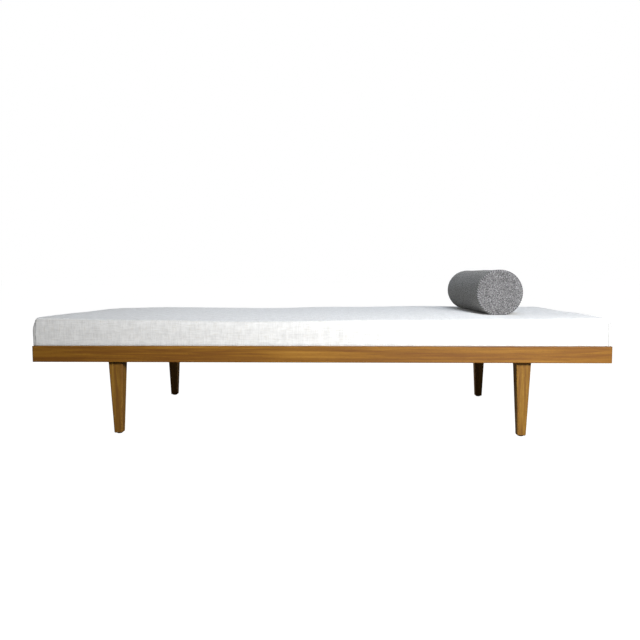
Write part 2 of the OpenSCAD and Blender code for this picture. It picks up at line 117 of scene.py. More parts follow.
class Recipe:
    """The node tree of one material."""

    def __init__(self, name: str) -> None:
        """Starts an empty material.

        Args:
            name: The material's name.
        """
        self.material = bpy.data.materials.new(name)
        self.material.use_nodes = True
        self.tree = self.material.node_tree
        self.tree.nodes.clear()

    def add(
        self,
        kind: str,
        inputs: dict | None = None,
        out: int | str = 0,
        stops: Iterable[tuple[float, str]] = (),
        **settings: object,
    ) -> bpy.types.NodeSocket | None:
        """Adds one node with its settings and links.

        Args:
            kind: The node's type, without the leading ShaderNode.
            inputs: What goes into each input: a socket to link, or a value.
            out: The output that is wanted.
            stops: A colour ramp's places and colours.
            settings: The node's own settings.

        Returns:
            The wanted output, or None on a node that has none.
        """
        node = self.tree.nodes.new("ShaderNode" + kind)
        for name, value in settings.items():
            setattr(node, name, value)
        for i, (place, colour) in enumerate(stops):
            ramp = node.color_ramp.elements
            stop = ramp[i] if i < len(ramp) else ramp.new(place)
            stop.position = place
            stop.color = linear(colour)
        for name, value in (inputs or {}).items():
            if isinstance(value, bpy.types.NodeSocket):
                self.tree.links.new(value, node.inputs[name])
            else:
                node.inputs[name].default_value = value
        return node.outputs[out] if node.outputs else None

    def surface(self, inputs: dict) -> bpy.types.Material:
        """Closes the tree with its surface.

        Args:
            inputs: What goes into the surface's inputs.

        Returns:
            The finished material.
        """
        shader = self.add("BsdfPrincipled", inputs)
        self.add("OutputMaterial", {"Surface": shader})
        return self.material


# ---- Finishes -------------------------------------------------------------------------------------


@dataclass(frozen=True)
class Timber:
    """How one kind of wood looks once it is worked."""

    dark: str
    middle: str
    light: str
    pore: str
    roughness: float
    ring_gap: float
    pore_share: float = 0.35


class Wood(Enum):
    """The woods that the daybed is made of."""

    # Oak, sanded and oiled: a honey brown with darker late wood, fine dark pores and a soft satin.
    OILED_OAK = Timber("#714614", "#875B19", "#9F7129", "#32200A", 0.5, 9 * MM)
    # Oak as in the rails, cut from a greyer and slightly paler plank for the legs.
    PALER_OAK = Timber("#714B1B", "#876121", "#9F7834", "#32200A", 0.5, 7 * MM)
    # Pine, planed and left raw: pale straw with wide amber rings, hardly a pore, and dull.
    RAW_PINE = Timber("#B48850", "#D0AC76", "#E2C796", "#8A6234", 0.62, 14 * MM, 0.1)
    # Beech, planed and left raw: an even pink tan with short fine flecks.
    RAW_BEECH = Timber("#B78D66", "#C79F78", "#D4B08B", "#8E6240", 0.6, 18 * MM, 0.5)


@dataclass(frozen=True)
class PlanedWood:
    """Solid wood, sawn, planed and sanded, with its grain along one axis, from one place in the log."""

    name: str
    grain: Axis
    wood: Wood
    seed: float

    def make(self) -> bpy.types.Material:
        """Builds the wood: wide tone, growth rings, fibre and open pores, all drawn out along the grain.

        Returns:
            The material.
        """
        look = self.wood.value
        r = Recipe(self.name)
        place = r.add("TexCoord", out="Object")
        parts = r.add("SeparateXYZ", {0: place}).node.outputs
        along, across, through = (parts[i] for i in self.grain.order)
        log = r.add("CombineXYZ", {0: along, 1: across, 2: through})

        def streak(
            long: float, wide: float, detail: float, roughness: float, shift: float
        ) -> bpy.types.NodeSocket:
            """Noise drawn out along the grain.

            Args:
                long: How long its features are.
                wide: How wide they are.
                detail: How many finer layers it has.
                roughness: How strong those are.
                shift: Which part of the noise is used.

            Returns:
                The noise's value.
            """
            scaled = r.add(
                "Mapping",
                {
                    "Vector": log,
                    "Location": (self.seed + shift, self.seed * 0.7 + shift, self.seed * 1.3),
                    "Scale": (1 / long, 1 / wide, 1 / wide),
                },
            )
            inputs = {"Vector": scaled, "Scale": 1.0, "Detail": detail, "Roughness": roughness}
            return r.add("TexNoise", inputs, out="Fac")

        # A streak's first two numbers are in metres, as grain on a plank of this size is.
        # The rings are the contours of a slow field, so they run straight, fan out and close in long tips.
        slow = streak(3.6, look.ring_gap * 12, 1.0, 0.4, 0.0)
        ripple = streak(0.25, look.ring_gap * 0.9, 3.0, 0.55, 3.1)
        bent = r.add("Math", {0: ripple, 1: 0.03, 2: slow}, operation="MULTIPLY_ADD")
        rings = r.add("Math", {0: bent, 1: 24.0}, operation="MULTIPLY")
        saw = r.add("Math", {0: rings}, operation="FRACT")
        late = r.add("Math", {0: saw, 1: 2.2}, operation="POWER")
        tone = streak(0.55, 20 * MM, 3.0, 0.55, 7.7)
        fibre = streak(0.09, 1.1 * MM, 2.0, 0.6, 1.9)
        band = streak(0.45, 5.5 * MM, 3.0, 0.6, 5.3)
        mix = -0.035
        for pattern, weight in ((tone, 0.42), (band, 0.34), (fibre, 0.30), (late, -0.08)):
            mix = r.add("Math", {0: pattern, 1: weight, 2: mix}, operation="MULTIPLY_ADD")
        stops = ((0.38, look.dark), (0.62, look.light), (0.50, look.middle))
        colour = r.add("ValToRGB", {0: mix}, stops=stops)
        # Open pores: dark dashes a few millimetres long, drawn twice as wide as they are so that they show.
        vessel = streak(9 * MM, 0.55 * MM, 1.0, 0.5, 11.0)
        open_pore = r.add(
            "MapRange",
            {"Value": vessel, "From Min": 0.60, "From Max": 0.68, "To Min": 0.0, "To Max": look.pore_share},
        )
        in_early = r.add("Math", {0: saw, 1: 0.65}, operation="LESS_THAN")
        dash = r.add("Math", {0: open_pore, 1: in_early}, operation="MULTIPLY")
        stained = r.add("Mix", {0: dash, 6: colour, 7: linear(look.pore)}, out=2, data_type="RGBA")
        rough = r.add("Math", {0: fibre, 1: 0.18, 2: look.roughness - 0.09}, operation="MULTIPLY_ADD")
        relief = r.add("Math", {0: dash, 1: -1.0, 2: fibre}, operation="MULTIPLY_ADD")
        bump = r.add("Bump", {"Height": relief, "Strength": 0.25, "Distance": 0.15 * MM})
        inputs = {"Base Color": stained, "Roughness": rough, "Normal": bump, "Specular IOR Level": 0.3}
        return r.surface(inputs)


@dataclass(frozen=True)
class SlubLinen:
    """Linen, bleached to off-white and woven plain: thick and thin threads, and beige slubs both ways."""

    name: str = "slub_linen"
    thread: float = 1.6 * MM
    base: str = "#E4E4E3"
    shade: str = "#CCCCCB"
    slub: str = "#C9C4B9"

    def make(self) -> bpy.types.Material:
        """Builds the cloth on its own map, whose unit is a metre. Its threads are drawn twice too thick.

        Returns:
            The material.
        """
        r = Recipe(self.name)
        cloth = r.add("UVMap", uv_map=CLOTH_MAP)
        # The threads wander, so that no two crossings are quite alike.
        stray = r.add("TexNoise", {"Vector": cloth, "Scale": 1 / (14 * MM), "Detail": 2.0}, out="Color")
        drift = r.add("VectorMath", {0: stray, 1: (2.2 * self.thread,) * 3}, operation="MULTIPLY")
        wandered = r.add("VectorMath", {0: cloth, 1: drift}, operation="ADD")
        parts = r.add("SeparateXYZ", {0: wandered}).node.outputs
        sines = []
        for side in (parts[0], parts[1]):
            turn = r.add("Math", {0: side, 1: math.pi / self.thread}, operation="MULTIPLY")
            sines.append(r.add("Math", {0: turn}, operation="SINE"))
        warp_up = r.add("Math", {0: sines[0], 1: sines[1]}, operation="MULTIPLY")
        is_warp = r.add("Math", {0: warp_up, 1: 0.0}, operation="GREATER_THAN")
        warp_top = r.add("Math", {0: sines[0]}, operation="ABSOLUTE")
        weft_top = r.add("Math", {0: sines[1]}, operation="ABSOLUTE")
        thread_top = r.add("Mix", {0: is_warp, 2: weft_top, 3: warp_top})

        def yarn(long: float, wide: float, turned: bool, detail: float) -> bpy.types.NodeSocket:
            """Noise drawn out along the threads.

            Args:
                long: How long its features are.
                wide: How wide they are.
                turned: Whether they run along the weft, and not the warp.
                detail: How many finer layers it has.

            Returns:
                The noise's value.
            """
            scale = (1 / long, 1 / wide, 1.0) if turned else (1 / wide, 1 / long, 1.0)
            spot = r.add("Mapping", {"Vector": cloth, "Scale": scale, "Location": (3.7, 1.3, 0.0)})
            inputs = {"Vector": spot, "Scale": 1.0, "Detail": detail, "Roughness": 0.5}
            return r.add("TexNoise", inputs, out="Fac")

        thin = [yarn(42 * MM, 4.2 * MM, turned, 2.0) for turned in (False, True)]
        lumps = [yarn(28 * MM, 2.4 * MM, turned, 1.0) for turned in (False, True)]
        slubs = [
            r.add("MapRange", {"Value": lump, "From Min": 0.60, "From Max": 0.80, "To Max": 0.7})
            for lump in lumps
        ]
        slub = r.add("Math", {0: slubs[0], 1: slubs[1]}, operation="MAXIMUM")
        both = r.add("Math", {0: thin[0], 1: thin[1]}, operation="ADD")
        both = r.add("Math", {0: both, 1: 0.6}, operation="MULTIPLY")
        cloud = {"Vector": cloth, "Scale": 42.0, "Detail": 3.0, "Roughness": 0.6}
        patch = r.add("TexNoise", cloud, out="Fac")
        tone = r.add("Math", {0: patch, 1: 0.8, 2: both}, operation="MULTIPLY_ADD")
        deep = r.add("MapRange", {"Value": tone, "From Min": 0.70, "From Max": 1.17})
        ends = {6: linear(self.shade), 7: linear(self.base)}
        cloth_tone = r.add("Mix", {0: deep, **ends}, out=2, data_type="RGBA")
        gap = r.add("MapRange", {"Value": thread_top, "From Max": 0.5, "To Min": 0.06, "To Max": 0.0})
        lit = r.add("Mix", {0: gap, 6: cloth_tone, 7: linear(self.slub)}, out=2, data_type="RGBA")
        colour = r.add("Mix", {0: slub, 6: lit, 7: linear(self.slub)}, out=2, data_type="RGBA")
        height = r.add("Math", {0: slub, 1: 0.8, 2: thread_top}, operation="MULTIPLY_ADD")
        bump = r.add("Bump", {"Height": height, "Strength": 0.42, "Distance": 0.35 * MM})
        return r.surface(
            {
                "Base Color": colour,
                "Roughness": 0.86,
                "Normal": bump,
                "Sheen Weight": 0.12,
                "Sheen Roughness": 0.5,
            }
        )


@dataclass(frozen=True)
class MelangeWool:
    """Wool boucle, spun from dark and pale grey fleece: curled loops that speckle like salt and pepper."""

    name: str = "melange_wool"
    loop: float = 2.0 * MM
    dark: str = "#1D1D1E"
    middle: str = "#595859"
    light: str = "#A6A5A7"

    def make(self) -> bpy.types.Material:
        """Builds the speckle in the solid, so that it runs on round the seams. Its loops are a little large.

        Returns:
            The material.
        """
        r = Recipe(self.name)
        place = r.add("TexCoord", out="Object")
        stray = r.add("TexNoise", {"Vector": place, "Scale": 0.5 / self.loop, "Detail": 1.0}, out="Color")
        pushed = r.add("VectorMath", {0: stray, 1: (1.6 * self.loop,) * 3}, operation="MULTIPLY")
        bent = r.add("VectorMath", {0: place, 1: pushed}, operation="ADD")
        coarse = {"Vector": bent, "Scale": 1.0 / self.loop, "Detail": 2.0, "Roughness": 0.65}
        curl = r.add("TexNoise", coarse, out="Fac")
        ridge = r.add("Math", {0: curl, 1: 0.5}, operation="SUBTRACT")
        ridge = r.add("Math", {0: ridge}, operation="ABSOLUTE")
        worm = r.add("MapRange", {"Value": ridge, "From Max": 0.10, "To Min": 1.0, "To Max": 0.0})
        tuft = r.add("TexVoronoi", {"Vector": bent, "Scale": 0.8 / self.loop}, out="Color")
        fleck = r.add("SeparateXYZ", {0: tuft})
        fuzz = {"Vector": place, "Scale": 3.2 / self.loop, "Detail": 2.0, "Roughness": 0.7}
        fine = r.add("TexNoise", fuzz, out="Fac")
        mix = 0.06
        for pattern, weight in ((fleck, 0.42), (worm, 0.28), (fine, 0.34)):
            mix = r.add("Math", {0: pattern, 1: weight, 2: mix}, operation="MULTIPLY_ADD")
        stops = ((0.22, self.dark), (0.86, self.light), (0.54, self.middle))
        colour = r.add("ValToRGB", {0: mix}, stops=stops)
        height = r.add("Math", {0: worm, 1: 0.7, 2: fine}, operation="MULTIPLY_ADD")
        bump = r.add("Bump", {"Height": height, "Strength": 0.8, "Distance": 1.2 * MM})
        return r.surface(
            {
                "Base Color": colour,
                "Roughness": 0.95,
                "Normal": bump,
                "Sheen Weight": 0.25,
                "Sheen Roughness": 0.6,
            }
        )


@dataclass(frozen=True)
class PlatedMetal:
    """Metal with a thin plating, tumbled: a cool even shine with faint clouds and handling marks."""

    name: str
    colour: str
    roughness: float

    def make(self) -> bpy.types.Material:
        """Builds the plating.

        Returns:
            The material.
        """
        r = Recipe(self.name)
        place = r.add("TexCoord", out="Object")
        cloud = r.add("TexNoise", {"Vector": place, "Scale": 1 / (4 * MM), "Detail": 4.0}, out="Fac")
        rough = r.add("Math", {0: cloud, 1: 0.25, 2: self.roughness - 0.12}, operation="MULTIPLY_ADD")
        worn = r.add("Math", {0: cloud, 1: 0.3, 2: 0.0}, operation="MULTIPLY_ADD")
        base = linear(self.colour)
        tint = r.add("Mix", {0: worn, 6: base, 7: dimmed(base, 0.6)}, out=2, data_type="RGBA")
        return r.surface({"Base Color": tint, "Roughness": rough, "Metallic": 1.0})


@dataclass(frozen=True)
class MouldedPlastic:
    """Injection-moulded nylon: one colour right through, with a fine spark-eroded grain."""

    name: str
    colour: str
    roughness: float = 0.5

    def make(self) -> bpy.types.Material:
        """Builds the plastic.

        Returns:
            The material.
        """
        r = Recipe(self.name)
        place = r.add("TexCoord", out="Object")
        grit = r.add("TexNoise", {"Vector": place, "Scale": 1 / (0.5 * MM), "Detail": 2.0}, out="Fac")
        rough = r.add("Math", {0: grit, 1: 0.2, 2: self.roughness - 0.1}, operation="MULTIPLY_ADD")
        tone = r.add("Math", {0: grit, 1: 0.15}, operation="MULTIPLY")
        base = linear(self.colour)
        tint = r.add("Mix", {0: tone, 6: base, 7: dimmed(base, 0.5)}, out=2, data_type="RGBA")
        bump = r.add("Bump", {"Height": grit, "Strength": 0.2, "Distance": 0.05 * MM})
        return r.surface({"Base Color": tint, "Roughness": rough, "Normal": bump})


@dataclass(frozen=True)
class WovenTape:
    """Polyester tape, woven in a fine herringbone and dyed to match its cloth."""

    name: str
    colour: str
    rib: float = 1.2 * MM

    def make(self) -> bpy.types.Material:
        """Builds slanted ribs, drawn twice as wide as real.

        Returns:
            The material.
        """
        r = Recipe(self.name)
        place = r.add("TexCoord", out="Object")
        parts = r.add("SeparateXYZ", {0: place}).node.outputs
        lean = r.add("Math", {0: parts[0], 1: parts[1]}, operation="ADD")
        height = r.add("Math", {0: parts[2], 1: self.rib * 6}, operation="PINGPONG")
        slant = r.add("Math", {0: lean, 1: height}, operation="ADD")
        turn = r.add("Math", {0: slant, 1: math.tau / self.rib}, operation="MULTIPLY")
        rib = r.add("Math", {0: turn}, operation="SINE")
        share = r.add("MapRange", {"Value": rib, "From Min": -1.0, "To Min": 0.35, "To Max": 0.0})
        base = linear(self.colour)
        tint = r.add("Mix", {0: share, 6: base, 7: dimmed(base, 0.55)}, out=2, data_type="RGBA")
        bump = r.add("Bump", {"Height": rib, "Strength": 0.4, "Distance": 0.15 * MM})
        return r.surface({"Base Color": tint, "Roughness": 0.8, "Normal": bump})


@dataclass(frozen=True)
class SpunThread:
    """Sewing thread or wool yarn: two plies twisted together, so it shades in short slanted turns."""

    name: str
    colour: str
    ply: float = 1.5 * MM

    def make(self) -> bpy.types.Material:
        """Builds the twist from noise as fine as a ply.

        Returns:
            The material.
        """
        r = Recipe(self.name)
        place = r.add("TexCoord", out="Object")
        twist = r.add("TexNoise", {"Vector": place, "Scale": 1 / self.ply, "Detail": 2.0}, out="Fac")
        base = linear(self.colour)
        tint = r.add("Mix", {0: twist, 6: dimmed(base, 0.6), 7: base}, out=2, data_type="RGBA")
        bump = r.add("Bump", {"Height": twist, "Strength": 0.5, "Distance": 0.3 * MM})
        return r.surface({"Base Color": tint, "Roughness": 0.85, "Normal": bump, "Sheen Weight": 0.2})


@dataclass(frozen=True)
class OpenFoam:
    """Polyether foam, cut from a block: cream, dull, and full of small open cells."""

    name: str = "open_foam"
    colour: str = "#EDE3BE"
    cell: float = 2.0 * MM

    def make(self) -> bpy.types.Material:
        """Builds the cells.

        Returns:
            The material.
        """
        r = Recipe(self.name)
        place = r.add("TexCoord", out="Object")
        cells = r.add("TexVoronoi", {"Vector": place, "Scale": 1 / self.cell}, out="Distance")
        base = linear(self.colour)
        tint = r.add("Mix", {0: cells, 6: dimmed(base, 0.75), 7: base}, out=2, data_type="RGBA")
        bump = r.add("Bump", {"Height": cells, "Strength": 0.6, "Distance": 0.5 * MM})
        return r.surface({"Base Color": tint, "Roughness": 0.95, "Normal": bump})


# ---- Meshes ---------------------------------------------------------------------------------------


def add_object(name: str, data: bpy.types.ID) -> bpy.types.Object:
    """Puts a mesh or curve into the scene at the origin.

    Args:
        name: The object's name.
        data: Its mesh or curve.

    Returns:
        The object.
    """
    made = bpy.data.objects.new(name, data)
    bpy.context.scene.collection.objects.link(made)
    return made


def finished_mesh(piece: bpy.types.Object) -> bpy.types.Mesh:
    """The mesh that a piece shows once its modifiers, or its curve's thickness, are worked out.

    Args:
        piece: A mesh or curve object.

    Returns:
        A new mesh.
    """
    graph = bpy.context.evaluated_depsgraph_get()
    graph.update()
    return bpy.data.meshes.new_from_object(piece.evaluated_get(graph), depsgraph=graph)


def settle(piece: bpy.types.Object) -> None:
    """Applies a piece's modifiers, so that none is left on it.

    Args:
        piece: The mesh object.
    """
    worked = finished_mesh(piece)
    piece.modifiers.clear()
    piece.data = worked


def read_points(mesh: bpy.types.Mesh) -> np.ndarray:
    """Reads where a mesh's points are.

    Args:
        mesh: The mesh.

    Returns:
        The points, one row each.
    """
    flat = np.empty(len(mesh.vertices) * 3)
    mesh.vertices.foreach_get("co", flat)
    return flat.reshape(-1, 3)


def write_points(mesh: bpy.types.Mesh, points: np.ndarray) -> None:
    """Moves a mesh's points to the rows given."""
    mesh.vertices.foreach_set("co", np.ascontiguousarray(points, float).ravel())
    mesh.update()


def shade_smooth(mesh: bpy.types.Mesh) -> None:
    """Shades every face of a mesh as part of one soft surface."""
    mesh.polygons.foreach_set("use_smooth", [True] * len(mesh.polygons))


def mesh_object(name: str, shape: bmesh.types.BMesh, smooth: bool = True) -> bpy.types.Object:
    """Makes an object from a bmesh, which is freed.

    Args:
        name: The object's name.
        shape: The finished bmesh.
        smooth: Whether its faces shade as one surface.

    Returns:
        The object.
    """
    bmesh.ops.recalc_face_normals(shape, faces=shape.faces)
    mesh = bpy.data.meshes.new(name)
    shape.to_mesh(mesh)
    shape.free()
    if smooth:
        shade_smooth(mesh)
    return add_object(name, mesh)


def round_edges(
    shape: bmesh.types.BMesh, edges: Iterable[bmesh.types.BMEdge], radius: float, steps: int
) -> None:
    """Rounds edges of a bmesh.

    Args:
        shape: The bmesh.
        edges: The edges to round.
        radius: How far back from the edge the rounding starts.
        steps: Faces across the rounding.
    """
    bmesh.ops.bevel(
        shape, geom=list(edges), offset=radius, segments=steps, profile=0.5, affect="EDGES", material=-1
    )


def runs_along(edge: bmesh.types.BMEdge, axis: Axis) -> bool:
    """Whether an edge is parallel to an axis."""
    way = edge.verts[1].co - edge.verts[0].co
    return abs(way[axis.value]) > 0.999 * way.length


def at_height(edge: bmesh.types.BMEdge, height: float) -> bool:
    """Whether both of an edge's ends are at a height."""
    return all(abs(v.co.z - height) < 0.1 * MM for v in edge.verts)


def slice_across(shape: bmesh.types.BMesh, axis: Axis, low: float, high: float, step: float) -> None:
    """Cuts a bmesh across with evenly spaced planes, so that its flat sides can bend.

    Args:
        shape: The bmesh.
        axis: The way that the planes face.
        low: Where the first space between planes starts.
        high: Where the last one ends.
        step: About how far apart the planes are.
    """
    normal = Vector([float(axis.value == i) for i in range(3)])
    count = max(1, round((high - low) / step))
    for i in range(1, count):
        bmesh.ops.bisect_plane(
            shape,
            geom=[*shape.verts, *shape.edges, *shape.faces],
            dist=0.3 * MM,
            plane_co=normal * (low + (high - low) * i / count),
            plane_no=normal,
        )


def rounded_loop(middle: Vector, size: Vector, radius: float, step: float) -> list[Vector]:
    """Points round a rounded rectangle, lying flat.

    Args:
        middle: Its centre.
        size: Its length along X and width along Y.
        radius: The radius of its corners.
        step: About how far apart the points are.

    Returns:
        The points, anticlockwise from the right side's upper end.
    """
    x, y = size.x / 2 - radius, size.y / 2 - radius
    turns = 6
    points: list[Vector] = []
    for corner, (cx, cy) in enumerate(((x, y), (-x, y), (-x, -y), (x, -y))):
        for i in range(turns + 1):
            a = math.radians(90 * (corner + i / turns))
            points.append(middle + Vector((cx + radius * math.cos(a), cy + radius * math.sin(a), 0)))
        side = 2 * x if corner % 2 == 0 else 2 * y
        count = round(side / step)
        way = Vector((-math.sin(a), math.cos(a), 0))
        start = points[-1]
        points += [start + way * side * k / count for k in range(1, count)]
    return points


def thread_mesh(
    name: str, runs: Iterable[list[Vector]], radius: float, closed: bool = False, sides: int = 1
) -> bpy.types.Object:
    """Makes round threads along runs of points, as one mesh.

    Args:
        name: The object's name.
        runs: One list of points for each thread.
        radius: The thread's radius.
        closed: Whether each thread joins up with its own start.
        sides: How finely it is rounded.

    Returns:
        The object.
    """
    line = bpy.data.curves.new(name, "CURVE")
    line.dimensions = "3D"
    line.bevel_depth = radius
    line.bevel_resolution = sides
    line.use_fill_caps = True
    for points in runs:
        run = line.splines.new("POLY")
        run.points.add(len(points) - 1)
        run.points.foreach_set("co", [c for p in points for c in (*p, 1.0)])
        run.use_cyclic_u = closed
    draft = add_object(name, line)
    mesh = finished_mesh(draft)
    bpy.data.objects.remove(draft)
    shade_smooth(mesh)
    return add_object(name, mesh)


@dataclass(frozen=True)
class Stuffing:
    """How a sewn cover swells over what fills it."""

    pressure: float
    spare: float
    reach: float
    frames: int = 20

    def fill(self, piece: bpy.types.Object, freedom: Callable[[np.ndarray], np.ndarray]) -> None:
        """Lets a closed cover swell as cloth, no further than its reach.

        Args:
            piece: The cover, which keeps its name.
            freedom: From 0, held, to 1, free, for each of the points given to it.
        """
        start = read_points(piece.data)
        cloth = piece.modifiers.new("cloth", "CLOTH")
        how = cloth.settings
        how.quality = 4
        how.mass = 0.3
        how.tension_stiffness = how.compression_stiffness = 18
        how.shear_stiffness = 8
        how.bending_stiffness = 0.6
        how.use_pressure = True
        how.uniform_pressure_force = self.pressure
        how.shrink_min = -self.spare
        how.effector_weights.gravity = 0
        cloth.point_cache.frame_start = 1
        cloth.point_cache.frame_end = self.frames
        for frame in range(1, self.frames + 1):
            bpy.context.scene.frame_set(frame)
        settle(piece)
        bpy.context.scene.frame_set(1)
        moved = read_points(piece.data) - start
        far = np.linalg.norm(moved, axis=1, keepdims=True)
        held = self.reach * np.tanh(far / self.reach) * freedom(start)[:, None]
        write_points(piece.data, start + moved * held / np.maximum(far, 1e-9))


def ease(distance: np.ndarray, width: float) -> np.ndarray:
    """One at no distance and less, falling smoothly to nothing at the width."""
    t = np.clip(1 - distance / width, 0, 1)
    return t * t * (3 - 2 * t)


def lay_cloth_map(mesh: bpy.types.Mesh) -> None:
    """Lays a map over a boxy cover, each face flat on the side that it looks at, in metres.

    Args:
        mesh: The cover's mesh.
    """
    sheet = mesh.uv_layers.new(name=CLOTH_MAP)
    points = read_points(mesh)
    normals = np.empty(len(mesh.polygons) * 3)
    mesh.polygons.foreach_get("normal", normals)
    corners = np.empty(len(mesh.polygons), int)
    mesh.polygons.foreach_get("loop_total", corners)
    facing = np.repeat(np.abs(normals.reshape(-1, 3)).argmax(axis=1), corners)
    at = np.empty(len(mesh.loops), int)
    mesh.loops.foreach_get("vertex_index", at)
    x, y, z = points[at].T
    u = np.where(facing == 0, y, x)
    v = np.where(facing == 2, y, z)
    sheet.data.foreach_set("uv", np.stack([u, v], axis=1).ravel())


def coat(mesh: bpy.types.Mesh, finish: bpy.types.Material) -> None:
    """Gives a mesh one material, in place of any that it has."""
    mesh.materials.clear()
    mesh.materials.append(finish)


def dress(
    piece: bpy.types.Object, finish: bpy.types.Material, body: str, slot: str, *nodes: str
) -> None:
    """Gives a piece its finish and its place in the frame.

    Args:
        piece: The piece.
        finish: Its material.
        body: The body that it moves with.
        slot: The record's material slot; not used.
        nodes: The nodes that it stands for.
    """
    coat(piece.data, finish)
    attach(piece, body)
    if nodes:
        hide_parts(*nodes)
    LOG.info("%s: %d faces", piece.name, len(piece.data.polygons))


# ---- Woodwork -------------------------------------------------------------------------------------


@dataclass
class Woodwork:
    """The oak frame, its legs, its slatted base and its fixings, whose shapes are the frame's own nodes."""

    nodes: dict[str, bpy.types.Object]
    seed_step: float = 2.3

    def paint(self, name: str, finish: bpy.types.Material) -> None:
        """Gives one node its material."""
        coat(self.nodes[name].data, finish)
        LOG.info("%s: %s", name, finish.name)

    def dress(self) -> None:
        """Gives every wooden piece grain along its own length, and each board its own cut of the log."""
        ways = dict.fromkeys(("front_rail", "back_rail"), Axis.X)
        ways.update(dict.fromkeys(("left_rail", "right_rail"), Axis.Y))
        ways.update(dict.fromkeys(("left_leg_bearer", "right_leg_bearer"), Axis.Y))
        ways.update({name: Axis.Z for name in self.nodes if self.is_leg(name)})
        for i, (name, way) in enumerate(ways.items()):
            wood = Wood.PALER_OAK if self.is_leg(name) else Wood.OILED_OAK
            plank = PlanedWood(f"oiled_oak_{name}", way, wood, self.seed_step * (i + 1))
            self.paint(name, plank.make())
        slat_wood = PlanedWood("raw_pine_slats", Axis.Y, Wood.RAW_PINE, 0.4).make()
        ledger_wood = PlanedWood("raw_pine_ledgers", Axis.X, Wood.RAW_PINE, 5.1).make()
        block_wood = PlanedWood("raw_beech_blocks", Axis.Z, Wood.RAW_BEECH, 1.2).make()
        for name in self.nodes:
            if name.endswith("_screws"):
                continue
            if name.startswith("slat_"):
                self.paint(name, slat_wood)
            elif name.endswith("_ledger"):
                self.paint(name, ledger_wood)
            elif name.startswith("corner_") or name == "leg_dowels":
                self.paint(name, block_wood)

    @staticmethod
    def is_leg(name: str) -> bool:
        """Whether a node is one of the four legs, and not one of their fixings."""
        return name.startswith(("leg_front", "leg_back"))

    def dress_fixings(self) -> None:
        """Plates the screws, bolts and washers, and makes the inserts brass and the glides nylon."""
        zinc = PlatedMetal("zinc_plated_steel", "#B9BCC0", 0.38).make()
        brass = PlatedMetal("turned_brass", "#C9A45C", 0.32).make()
        nylon = MouldedPlastic("black_nylon", "#1C1C1D").make()
        for name in self.nodes:
            if name.endswith("_screws") or name in ("leg_bolts", "leg_washers"):
                self.paint(name, zinc)
            elif name == "leg_inserts":
                self.paint(name, brass)
            elif name.startswith("glide_"):
                self.paint(name, nylon)


# ---- Zips -----------------------------------------------------------------------------------------


@dataclass
class Zip:
    """A closed coil zip, in its own frame: X along it, Z out of the cloth, its middle on the tape's back."""

    name: str
    body: str
    place: Matrix
    length: float
    colour: str
    stitch_colour: str
    tape_width: float = 24 * MM
    tape_thickness: float = 0.5 * MM
    coil_width: float = 6 * MM
    coil_height: float = 1.4 * MM
    tooth_gap: float = 1.6 * MM
    stitch: float = 3.2 * MM
    stitch_gap: float = 4.6 * MM
    stitch_margin: float = 3 * MM
    thread: float = 0.3 * MM

    def teeth(self) -> bpy.types.Object:
        """The coil: one rounded turn, repeated along the zip.

        Returns:
            The object.
        """
        count = int(self.length / self.tooth_gap)
        size = (self.tooth_gap * 0.72, self.coil_width, self.coil_height)
        height = self.tape_thickness + self.coil_height / 2
        start = Vector((-(count - 1) * self.tooth_gap / 2, 0, height))
        shape = bmesh.new()
        bmesh.ops.create_cube(shape, size=1.0)
        bmesh.ops.scale(shape, vec=size, verts=shape.verts)
        long_edges = [e for e in shape.edges if runs_along(e, Axis.Y)]
        round_edges(shape, long_edges, 0.35 * MM, 1)
        bmesh.ops.translate(shape, vec=start, verts=shape.verts)
        bmesh.ops.transform(shape, matrix=self.place, verts=shape.verts)
        piece = mesh_object(f"{self.name}_teeth", shape, smooth=False)
        row = piece.modifiers.new("row", "ARRAY")
        row.count = count
        row.use_relative_offset = False
        row.use_constant_offset = True
        row.constant_offset_displace = self.place.to_3x3() @ Vector((self.tooth_gap, 0, 0))
        return piece

    def seams(self) -> bpy.types.Object:
        """The two rows of stitches that hold the tape to the cloth.

        Returns:
            The object.
        """
        runs = []
        count = int((self.length - self.stitch_gap) / self.stitch_gap)
        lift = self.tape_thickness + 0.1 * MM
        # Each stitch dives into the tape at both ends and stands a little proud in the middle.
        steps = ((-0.5, -0.2 * MM), (0.0, 0.15 * MM), (0.5, -0.2 * MM))
        for side in (-1, 1):
            y = side * (self.tape_width / 2 - self.stitch_margin)
            for i in range(count):
                x = (i - (count - 1) / 2) * self.stitch_gap
                run = [Vector((x + self.stitch * along, y, lift + up)) for along, up in steps]
                runs.append([self.place @ p for p in run])
        return thread_mesh(f"{self.name}_stitches", runs, self.thread, sides=0)

    def build(self, nodes: dict[str, bpy.types.Object], slot_stem: str) -> None:
        """Makes the teeth and stitches, and dresses the tape, the slider and the pull.

        Args:
            nodes: The frame's nodes.
            slot_stem: How the record's slots for this zip's tape and coil begin.
        """
        dress(
            self.teeth(),
            MouldedPlastic(f"{self.name}_coil", self.colour, 0.42).make(),
            self.body,
            f"{slot_stem}_coil",
            f"{self.name}_coil",
        )
        thread = SpunThread(f"{self.name}_thread", self.stitch_colour, 0.8 * MM).make()
        dress(self.seams(), thread, self.body, f"{slot_stem}_tape")
        weave = WovenTape(f"{self.name}_weave", self.colour).make()
        coat(nodes[f"{self.name}_tape"].data, weave)
        nickel = PlatedMetal(f"{self.name}_nickel", "#C4C2BD", 0.3).make()
        for part in ("slider", "pull"):
            coat(nodes[f"{self.name}_{part}"].data, nickel)


# ---- Mattress -------------------------------------------------------------------------------------


